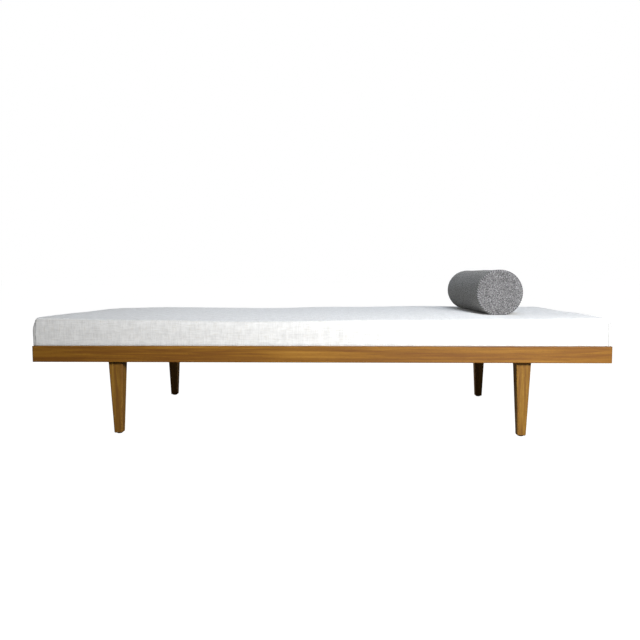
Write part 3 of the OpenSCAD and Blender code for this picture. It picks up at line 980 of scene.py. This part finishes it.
@dataclass(frozen=True)
class Rise:
    """A soft rise in the mattress's top, or a hollow where its height is below nothing."""

    x: float
    half_x: float
    height: float
    y: float = 0.0
    half_y: float = math.inf

    def over(self, x: np.ndarray, y: np.ndarray) -> np.ndarray:
        """How much the rise adds to the top's height at each place.

        Args:
            x: Places along X.
            y: Places along Y.

        Returns:
            The heights.
        """
        along, across = (x - self.x) / self.half_x, (y - self.y) / self.half_y
        return self.height * np.exp(-(along**2) - across**2)


@dataclass
class Mattress:
    """The foam mattress in its linen cover, which zips along the back."""

    nodes: dict[str, bpy.types.Object]
    slack: float = 0.5 * MM
    corner_radius: float = 11 * MM
    top_radius: float = 7 * MM
    base_radius: float = 2.5 * MM
    cell: float = 11 * MM
    swell: float = 3.0 * MM
    foam_inset: float = 10 * MM
    zip_margin: float = 14 * MM
    zip_clear: float = 2 * MM
    thread: float = 0.55 * MM
    rises: tuple[Rise, ...] = (
        Rise(-0.25, 0.24, -4.0 * MM),
        Rise(0.43, 0.20, 2.5 * MM),
        Rise(0.08, 0.15, 1.0 * MM),
        Rise(-0.72, 0.18, 1.0 * MM),
        Rise(-0.95, 0.16, 5.0 * MM, -0.28, 0.22),
        Rise(-0.95, 0.20, -3.0 * MM, 0.38, 0.16),
        Rise(0.95, 0.16, 2.0 * MM, -0.2, 0.25),
        Rise(0.05, 0.75, -5.5 * MM, -0.42, 0.14),
        Rise(0.50, 0.34, -2.0 * MM, -0.42, 0.14),
    )
    belly: float = 2.0 * MM
    end_fill: float = 2.0 * MM
    end_belly: float = 3.0 * MM
    end_tuck: float = 9.5 * MM
    front_tuck: float = 3.0 * MM
    tuck_from: float = 0.6
    edge_reach: float = 60 * MM
    rumple: float = 0.5 * MM
    held_height: float = 22 * MM
    zip_gap: float = 0.15 * MM

    def __post_init__(self) -> None:
        """Reads the mattress's own box from the frame."""
        self.low, self.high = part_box("mattress_cover")

    def block(self, name: str, inset: float, sliced: bool) -> bpy.types.Object:
        """A block as large as the mattress less an inset all round, with its edges rounded.

        Args:
            name: The object's name.
            inset: How far inside the mattress's box its sides and top are.
            sliced: Whether its sides are cut into small cells, as a cover that swells needs.

        Returns:
            The object.
        """
        low = self.low + Vector((inset, inset, 0))
        high = self.high - Vector((inset, inset, inset))
        shape = bmesh.new()
        bmesh.ops.create_cube(shape, size=1.0)
        bmesh.ops.scale(shape, vec=high - low, verts=shape.verts)
        bmesh.ops.translate(shape, vec=(high + low) / 2, verts=shape.verts)
        round_edges(shape, [e for e in shape.edges if runs_along(e, Axis.Z)], self.corner_radius, 5)
        round_edges(shape, [e for e in shape.edges if at_height(e, high.z)], self.top_radius, 5)
        round_edges(shape, [e for e in shape.edges if at_height(e, low.z)], self.base_radius, 2)
        if sliced:
            spans = (
                (Axis.X, low.x + self.corner_radius, high.x - self.corner_radius),
                (Axis.Y, low.y + self.corner_radius, high.y - self.corner_radius),
                (Axis.Z, low.z + self.base_radius, high.z - self.top_radius),
            )
            for axis, start, end in spans:
                slice_across(shape, axis, start, end, self.cell)
        return mesh_object(name, shape)

    def freedom(self, points: np.ndarray) -> np.ndarray:
        """How far the foam may push each point: the base is held on the slats, the rest is free."""
        return 1 - ease(points[:, 2] - self.low.z - 2 * MM, self.held_height)

    def shape_cover(self, points: np.ndarray, pressed: Heights) -> np.ndarray:
        """Sinks and lifts the top, fills out the sides, and presses the back in under the zip.

        Args:
            points: The swollen cover's points.
            pressed: The height that the bolster presses the top down to, over each X and Y.

        Returns:
            The points in their final places.
        """
        x, y, z = points.T.copy()
        share = np.clip((z - self.low.z) / (self.high.z - self.low.z), 0, 1)
        round_out = 4 * share * (1 - share)
        tuck = np.clip((share - self.tuck_from) / (1 - self.tuck_from), 0, 1) ** 1.2
        at_end = ease(self.high.x - np.abs(x), self.edge_reach)
        at_side = ease(self.high.y - np.abs(y), self.edge_reach)
        x = x + np.sign(x) * at_end * (self.end_fill + self.end_belly * round_out - self.end_tuck * tuck)
        y = y + np.sign(y) * at_side * (self.belly * round_out - self.front_tuck * tuck)
        up = share**1.5
        lift = sum(rise.over(x, y) for rise in self.rises)
        # Three crossed waves, about 0.3 to 0.5 m long, leave the top a little uneven.
        waves = np.sin(x * 17 + y * 5) + np.sin(x * 11 - y * 13 + 1) + np.sin(y * 19 + x * 3)
        lift = lift + self.rumple * waves
        z = np.maximum(z + up * lift, self.low.z)
        top = pressed(x, y)
        z = np.where(up > 0.5, np.minimum(z, top), z)
        tape_low, tape_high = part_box("mattress_zip_tape")
        middle = (tape_low.z + tape_high.z) / 2
        half = (tape_high.z - tape_low.z) / 2
        beside = np.maximum(np.abs(z - middle) - half - self.zip_clear, 0)
        past = np.maximum(np.abs(x) - tape_high.x - self.zip_clear, 0)
        near = ease(np.hypot(beside, past), self.zip_margin)
        limit = tape_low.y - self.zip_gap
        y = np.where(y > limit, limit + (y - limit) * (1 - near), y)
        return np.stack([x, y, z], axis=1)

    def cover(self, pressed: Heights) -> bpy.types.Object:
        """The linen cover, swollen over its foam.

        Args:
            pressed: The height that the bolster presses the top down to.

        Returns:
            The object.
        """
        piece = self.block("linen_cover", self.slack, sliced=True)
        Stuffing(pressure=2.5, spare=0.004, reach=self.swell).fill(piece, self.freedom)
        write_points(piece.data, self.shape_cover(read_points(piece.data), pressed))
        lay_cloth_map(piece.data)
        shade_smooth(piece.data)
        return piece

    def seams(self, cover: bpy.types.Object) -> None:
        """Sews the cover's panels together: round the top, round the base, and up the four corners.

        Args:
            cover: The finished cover.
        """
        thread = SpunThread("linen_thread", "#E2E1DC").make()
        skin = BVHTree.FromObject(cover, bpy.context.evaluated_depsgraph_get())

        def on_cover(aims: list[Vector]) -> list[Vector]:
            """The nearest places on the cover, just proud of it."""
            found = [skin.find_nearest(aim) for aim in aims]
            return [spot + normal * 0.15 * MM for spot, normal, _, _ in found]

        size = self.high - self.low
        middle = (self.low + self.high) / 2
        for name, height in (
            ("linen_top_seam", self.high.z - 0.35 * self.top_radius),
            ("linen_base_seam", self.low.z + 2 * self.base_radius),
        ):
            middle.z = height
            loop = on_cover(rounded_loop(middle, size, self.corner_radius, 12 * MM))
            dress(thread_mesh(name, [loop], self.thread, closed=True), thread, "mattress", "ecru_linen")
        corners = []
        x, y = size.x / 2 - self.corner_radius, size.y / 2
        for sx, sy in ((-1, -1), (1, -1), (1, 1), (-1, 1)):
            heights = np.linspace(self.low.z + 3 * MM, self.high.z - 4 * MM, 12)
            corners.append(on_cover([Vector((sx * x, sy * y, h)) for h in heights]))
        # The corner seams' thread is painted grey: painted shade for the crease down each corner of the
        # cover.
        painted_shade_thread = SpunThread("linen_thread_painted_shade", "#9FA0A2").make()
        posts = thread_mesh("linen_corner_seams", corners, self.thread * 1.6)
        dress(posts, painted_shade_thread, "mattress", "ecru_linen")

    def build(self, pressed: Heights) -> None:
        """Makes the cover, its seams, its foam and its zip.

        Args:
            pressed: The height that the bolster presses the top down to.
        """
        cover = self.cover(pressed)
        dress(cover, SlubLinen().make(), "mattress", "ecru_linen", "mattress_cover")
        self.seams(cover)
        foam = self.block("mattress_foam", self.foam_inset, sliced=False)
        dress(foam, OpenFoam().make(), "mattress", "foam", "mattress_core")
        low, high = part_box("mattress_zip_tape")
        middle = (low + high) / 2
        upright = Matrix.Rotation(math.radians(-90), 4, "X")
        place = Matrix.Translation((middle.x, low.y, middle.z)) @ upright
        run = high.x - low.x
        Zip("mattress_zip", "mattress", place, run, "#DEDAD0", "#F0EEE8").build(self.nodes, "ecru")


# ---- Bolster --------------------------------------------------------------------------------------


@dataclass
class Bolster:
    """The loose round bolster, in its own frame: Y along it and its middle at the origin."""

    nodes: dict[str, bpy.types.Object]
    joints: list[dict]
    length: float = 520 * MM
    radius: float = 84 * MM
    flat: float = 4 * MM
    slack: float = 1.0 * MM
    swell: float = 1.8 * MM
    end_radius: float = 5 * MM
    cell: float = 6 * MM
    around: int = 112
    wall: float = 2.2 * MM
    squash: float = 1.8 * MM
    squash_depth: float = 70 * MM
    squash_reach: float = 55 * MM
    top_sink: float = 0.01
    spread: float = 1.012
    flat_blend: float = 0.8 * MM
    zip_depth: float = 82.5 * MM
    zip_half: float = 15 * MM
    zip_stop: float = 48 * MM
    zip_margin: float = 14 * MM
    filling_inset: float = 9 * MM
    crease_depth: float = 1.05 * MM
    crease_width: float = 2.2 * MM
    calm_width: float = 25 * MM
    held_width: float = 18 * MM
    stitch_gap: float = 9 * MM
    stitch_reach: float = 4.6 * MM
    yarn: float = 1.3 * MM
    seam_yarn: float = 1.6 * MM
    seam_points: int = 180
    stitch_lean: float = 0.22
    contact_half: float = 38 * MM
    sink: float = 0.3 * MM
    press_curve: float = 0.5
    rumple: float = 0.5 * MM
    zip_gap: float = 0.15 * MM

    def __post_init__(self) -> None:
        """Reads where the bolster lies, and which way, from the frame."""
        low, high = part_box("bolster_cover")
        centre = (low + high) / 2
        centre.z = low.z + self.radius - self.flat
        along = next(j["axis"] for j in self.joints if j["name"] == "bolster_zip")
        turn = math.atan2(along[0], -along[1])
        self.place = Matrix.Translation(centre) @ Matrix.Rotation(turn, 4, "Z")
        self.rest_height = low.z

    def pressed(self, x: np.ndarray, y: np.ndarray) -> np.ndarray:
        """How high the mattress's top may stand where the bolster weighs on it.

        Args:
            x: Places along the row frame's X.
            y: Places along its Y.

        Returns:
            A height for each, lowest under the bolster and rising away from it.
        """
        back = self.place.inverted()
        across = x * back[0][0] + y * back[0][1] + back[0][3]
        along = x * back[1][0] + y * back[1][1] + back[1][3]
        beside = np.maximum(np.abs(across) - self.contact_half, 0)
        past = np.maximum(np.abs(along) - self.length / 2, 0)
        away = np.hypot(beside, past)
        return self.rest_height - self.sink + away * away / self.press_curve

    def drum(self, name: str, inset: float) -> bpy.types.Object:
        """A closed drum along Y with rounded rims, spun from half its outline.

        Args:
            name: The object's name.
            inset: How much smaller it is than the bolster, all round.

        Returns:
            The object.
        """
        radius, half = self.radius - inset, self.length / 2 - inset
        shape = bmesh.new()
        outline = ((0, -half, 0), (radius, -half, 0), (radius, half, 0), (0, half, 0))
        corners = [shape.verts.new(p) for p in outline]
        for a, b in zip(corners, corners[1:]):
            shape.edges.new((a, b))
        bmesh.ops.bevel(
            shape,
            geom=corners[1:3],
            offset=self.end_radius,
            segments=6,
            profile=0.5,
            affect="VERTICES",
            material=-1,
        )
        for edge in [e for e in shape.edges if e.calc_length() > 4 * self.cell]:
            bmesh.ops.subdivide_edges(shape, edges=[edge], cuts=round(edge.calc_length() / self.cell))
        bmesh.ops.spin(
            shape,
            geom=[*shape.verts, *shape.edges],
            cent=(0, 0, 0),
            axis=(0, 1, 0),
            angle=math.tau,
            steps=self.around,
            use_merge=True,
        )
        bmesh.ops.remove_doubles(shape, verts=shape.verts, dist=0.01 * MM)
        return mesh_object(name, shape)

    def from_rim(self, points: np.ndarray) -> np.ndarray:
        """Measures how far points are from the nearer seam, which runs round the rim at its middle.

        Args:
            points: The points, in the bolster's own frame.

        Returns:
            A distance for each.
        """
        # The middle of a rounded rim is this far in from its square corner, both ways.
        inset = self.slack + 0.29 * self.end_radius
        out = np.hypot(points[:, 0], points[:, 2]) - (self.radius - inset)
        return np.hypot(out, np.abs(points[:, 1]) - (self.length / 2 - inset))

    def freedom(self, points: np.ndarray) -> np.ndarray:
        """How far the filling may push each point: the seams hold the cloth in, the panels are free."""
        return 1 - ease(self.from_rim(points) - 1 * MM, self.held_width)

    def shape_cover(self, points: np.ndarray) -> np.ndarray:
        """Creases the seams, rumples the panels, flattens the base, and presses the side in for the zip.

        Args:
            points: The swollen cover's points.

        Returns:
            The points in their final places.
        """
        away = self.from_rim(points)
        x, y, z = points.T.copy()
        out = np.maximum(np.hypot(x, z), 1 * MM)
        pull = self.crease_depth * np.exp(-((away / self.crease_width) ** 2))
        turn = np.arctan2(z, x)
        slow = np.sin(y * 31 + 1) * np.sin(turn * 3 + y * 9) + np.sin(y * 23 + turn * 5)
        swell = self.rumple * slow * (1 - ease(away, self.calm_width))
        on_end = out < 0.9 * self.radius
        y = y - np.sign(y) * (pull - swell * on_end)
        grow = 1 + (swell * ~on_end - pull) / out
        x, z = x * grow, z * grow
        floor = -(self.radius - self.flat)
        # The filling's weight settles it: lower and wider, and flat where it lies on the mattress.
        low = ease(z + self.squash_depth, self.squash_reach)
        z = z - self.top_sink * np.maximum(z, 0)
        above = z - self.squash * low - floor
        z = floor + self.flat_blend * np.logaddexp(0, above / self.flat_blend)
        x = x * self.spread
        beside = np.maximum(np.abs(z) - self.zip_half + 2 * MM, 0)
        past = np.maximum(np.abs(y) - (self.length / 2 - self.zip_stop), 0)
        near = ease(np.hypot(beside, past), self.zip_margin)
        limit = self.zip_depth - self.zip_gap
        x = np.where(x > limit, limit + (x - limit) * (1 - near), x)
        return np.stack([x, y, z], axis=1)

    def skin(self) -> bpy.types.Object:
        """The whole cover in one, swollen and shaped, in the bolster's own frame.

        Returns:
            The object, from which the tube and the caps are cut.
        """
        whole = self.drum("bolster_skin", self.slack)
        Stuffing(pressure=3.0, spare=0.004, reach=self.swell).fill(whole, self.freedom)
        write_points(whole.data, self.shape_cover(read_points(whole.data)))
        return whole

    def part(self, name: str, skin: bpy.types.Object, wanted: Callable[[Vector], bool]) -> bpy.types.Object:
        """Cuts one panel from the skin and gives it its cloth's thickness, inwards.

        Args:
            name: The panel's name.
            skin: The whole cover.
            wanted: Whether a face whose middle is at a point belongs to the panel.

        Returns:
            The panel, closed.
        """
        shape = bmesh.new()
        shape.from_mesh(skin.data)
        spare = [f for f in shape.faces if not wanted(f.calc_center_median())]
        bmesh.ops.delete(shape, geom=spare, context="FACES")
        bmesh.ops.transform(shape, matrix=self.place, verts=shape.verts)
        mesh = bpy.data.meshes.new(name)
        shape.to_mesh(mesh)
        shape.free()
        shade_smooth(mesh)
        panel = add_object(name, mesh)
        cloth = panel.modifiers.new("cloth", "SOLIDIFY")
        cloth.thickness = self.wall
        cloth.offset = -1
        settle(panel)
        return panel

    def on_cap(self, side: int) -> Callable[[Vector], bool]:
        """A test for the cap at one end: its faces lie past the middle of the rim.

        Args:
            side: -1 for the front cap and 1 for the back one.

        Returns:
            The test.
        """

        def test(p: Vector) -> bool:
            """Whether a point in the bolster's frame is nearer the end than the side."""
            return self.length / 2 - side * p.y < self.radius - math.hypot(p.x, p.z + 1 * MM)

        return test

    def rim_point(self, skin: BVHTree, side: int, turn: float, along: float, lift: float) -> Vector:
        """A place near one rim, in the row frame.

        Args:
            skin: The whole cover, in the bolster's own frame.
            side: -1 for the front rim and 1 for the back one.
            turn: The angle round the rim.
            along: How far past the seam it is: onto the cap, or onto the tube where negative.
            lift: How far it stands off the cloth.

        Returns:
            The place.
        """
        back, over = max(-along, 0), max(along, 0)
        out = self.radius - over
        aim = Vector((out * math.cos(turn), side * (self.length / 2 - back), out * math.sin(turn)))
        spot, normal, _, _ = skin.find_nearest(aim)
        return self.place @ (spot + normal * lift)

    def sew(self, name: str, skin: BVHTree, side: int) -> None:
        """Sews one rim: dark yarn down in the seam, painted shade for its crease, and paler yarn whipped
        over it.

        Args:
            name: Which end it is.
            skin: The whole cover, which the yarn lies on.
            side: -1 for the front rim and 1 for the back one.
        """
        turns = [math.tau * i / self.seam_points for i in range(self.seam_points)]
        seam = [self.rim_point(skin, side, a, 0.0, 0.25 * MM) for a in turns]
        # The dark yarn is painted shade: it stands for the shadow down in the seam's crease.
        dark = SpunThread(f"painted_shade_yarn_{name}", "#232325").make()
        loop = thread_mesh(f"bolster_{name}_seam", [seam], self.seam_yarn, closed=True)
        dress(loop, dark, "bolster", "grey_wool")
        count = round(math.tau * self.radius / self.stitch_gap)
        # Each stitch starts down in the tube, rises over the seam and ends down in the cap.
        steps = ((-1.0, -0.4), (-0.55, 0.55), (0.0, 0.9), (0.55, 0.55), (1.0, -0.4))
        runs = []
        for i in range(count):
            run = []
            for share, lift in steps:
                turn = math.tau * (i + self.stitch_lean * share) / count
                along = self.stitch_reach * share
                run.append(self.rim_point(skin, side, turn, along, self.yarn * lift))
            runs.append(run)
        pale = SpunThread(f"silver_yarn_{name}", "#AFAEB0").make()
        dress(thread_mesh(f"bolster_{name}_stitches", runs, self.yarn), pale, "bolster", "grey_wool")

    def build(self) -> None:
        """Makes the tube, its two caps, their stitches, the filling and the zip."""
        wool = MelangeWool().make()
        skin = self.skin()
        tree = BVHTree.FromObject(skin, bpy.context.evaluated_depsgraph_get())
        front, back = self.on_cap(-1), self.on_cap(1)
        tube = self.part("bolster_tube", skin, lambda p: not front(p) and not back(p))
        # The tube's wool is the caps' made a little warmer and a little darker, the darkness being painted
        # shade on the tube's sides.
        tube_look_painted_shade = MelangeWool("melange_wool_side_painted_shade", dark="#1C1B1A", middle="#575551", light="#A3A19B")
        tube_wool_painted_shade = tube_look_painted_shade.make()
        dress(tube, tube_wool_painted_shade, "bolster", "grey_wool", "bolster_cover")
        for name, side, test in (("front", -1, front), ("back", 1, back)):
            cap = self.part(f"bolster_{name}_end", skin, test)
            dress(cap, wool, "bolster", "grey_wool", f"bolster_cap_{name}")
            self.sew(name, tree, side)
        bpy.data.objects.remove(skin)
        filling = self.drum("bolster_filling", self.filling_inset)
        filling.data.transform(self.place)
        dress(filling, OpenFoam("bolster_foam").make(), "bolster", "foam", "bolster_core")
        tape_low, tape_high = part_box("bolster_zip_tape")
        run = math.floor((tape_high - tape_low).xy.length / MM) * MM
        quarter = math.radians(90)
        outward = Matrix.Rotation(quarter, 4, "Y") @ Matrix.Rotation(quarter, 4, "Z")
        place = self.place @ Matrix.Translation((self.zip_depth, 0, 0)) @ outward
        Zip("bolster_zip", "bolster", place, run, "#4A4A4C", "#6A6A6C").build(self.nodes, "grey")


# ---- Studio ---------------------------------------------------------------------------------------


Spot = tuple[float, float, float]


@dataclass(frozen=True)
class Softbox:
    """One soft rectangular light: where it stands, what it faces, its width and height, and its watts."""

    name: str
    at: Spot
    aim: Spot
    size: tuple[float, float]
    power: float
    tint: str = "#FFFFFF"

    def light(self) -> None:
        """Puts the light into the scene."""
        data = bpy.data.lights.new(self.name, "AREA")
        data.shape = "RECTANGLE"
        data.size, data.size_y = self.size
        data.energy = self.power
        data.color = linear(self.tint)[:3]
        lamp = add_object(self.name, data)
        lamp.location = self.at
        way = Vector(self.aim) - Vector(self.at)
        lamp.rotation_euler = way.to_track_quat("-Z", "Y").to_euler()


@dataclass
class Studio:
    """The camera, the lights, the pale floor and the white surroundings."""

    camera_at: Vector = field(default_factory=lambda: Vector((0.1072, -2.5018, 0.5485)))
    yaw: float = 2.571
    pitch: float = 4.072
    roll: float = -0.214
    lens: float = 35.54
    sensor: float = 36.0
    ambient: float = 0.07
    lights: tuple[Softbox, ...] = (
        Softbox("window", (1.1, -2.35, 1.3), (0.4, 0.0, 0.3), (1.1, 0.6), 97),
        Softbox("ceiling", (0.55, 0.1, 2.4), (0.1, 0.0, 0.3), (1.5, 1.3), 18.4, "#DCEBFF"),
        Softbox("behind", (-1.2, 3.2, 1.1), (0.0, 0.0, 0.3), (2.0, 1.0), 45),
        Softbox("right", (3.3, 0.9, 0.6), (0.9, 0.0, 0.3), (1.2, 0.8), 20),
        Softbox("left", (-3.3, 0.3, 0.2), (-0.9, 0.0, 0.3), (1.2, 0.3), 14),
    )

    def camera(self) -> None:
        """Sets up the camera at the eye height of someone seated opposite."""
        turn = (
            Matrix.Rotation(math.radians(self.yaw), 4, "Z")
            @ Matrix.Rotation(math.radians(90 - self.pitch), 4, "X")
            @ Matrix.Rotation(math.radians(self.roll), 4, "Z")
        )
        data = bpy.data.cameras.new("camera")
        data.lens = self.lens
        data.sensor_width = self.sensor
        camera = add_object("camera", data)
        camera.matrix_world = Matrix.Translation(self.camera_at) @ turn
        bpy.context.scene.camera = camera

    def surroundings(self) -> None:
        """White all round to the eye, and only a low even light on what stands there."""
        scene = bpy.context.scene
        scene.view_settings.view_transform = "Standard"
        world = bpy.data.worlds.new("white_room")
        scene.world = world
        world.use_nodes = True
        tree = world.node_tree
        tree.nodes.clear()
        seen = tree.nodes.new("ShaderNodeLightPath")
        strength = tree.nodes.new("ShaderNodeMapRange")
        strength.inputs["To Min"].default_value = self.ambient
        strength.inputs["To Max"].default_value = 1.0
        glow = tree.nodes.new("ShaderNodeBackground")
        out = tree.nodes.new("ShaderNodeOutputWorld")
        tree.links.new(seen.outputs["Is Camera Ray"], strength.inputs["Value"])
        tree.links.new(strength.outputs[0], glow.inputs["Strength"])
        tree.links.new(glow.outputs[0], out.inputs["Surface"])
        glow.inputs["Color"].default_value = (1.0, 1.0, 1.0, 1.0)

    def floor(self) -> None:
        """A wide pale floor, evenly lit like the paper roll in a studio."""
        shape = bmesh.new()
        bmesh.ops.create_grid(shape, x_segments=1, y_segments=1, size=40.0)
        piece = mesh_object("floor", shape, smooth=False)
        r = Recipe("white_paper")
        seen = r.add("LightPath", out="Is Camera Ray")
        glow = r.add("Math", {0: seen, 1: 0.992}, operation="MULTIPLY")
        paper = r.add("BsdfDiffuse", {"Color": (0.15, 0.15, 0.15, 1.0)})
        lit = r.add("Emission", {"Color": (1.0, 1.0, 1.0, 1.0), "Strength": glow})
        both = r.add("AddShader", {0: paper, 1: lit})
        r.add("OutputMaterial", {"Surface": both})
        piece.data.materials.append(r.material)

    def build(self) -> None:
        """Sets the stage: a big light in front on the right, a soft one above, and low ones all round."""
        self.camera()
        self.surroundings()
        self.floor()
        for box in self.lights:
            box.light()


def main() -> None:
    """Builds the daybed around its frame."""
    logging.basicConfig(level=logging.INFO, format="%(message)s")
    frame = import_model()
    nodes = frame["nodes"]
    Studio().build()
    woodwork = Woodwork(nodes)
    woodwork.dress()
    woodwork.dress_fixings()
    bolster = Bolster(nodes, frame["joints"])
    Mattress(nodes).build(bolster.pressed)
    bolster.build()


if __name__ == "__main__":
    main()
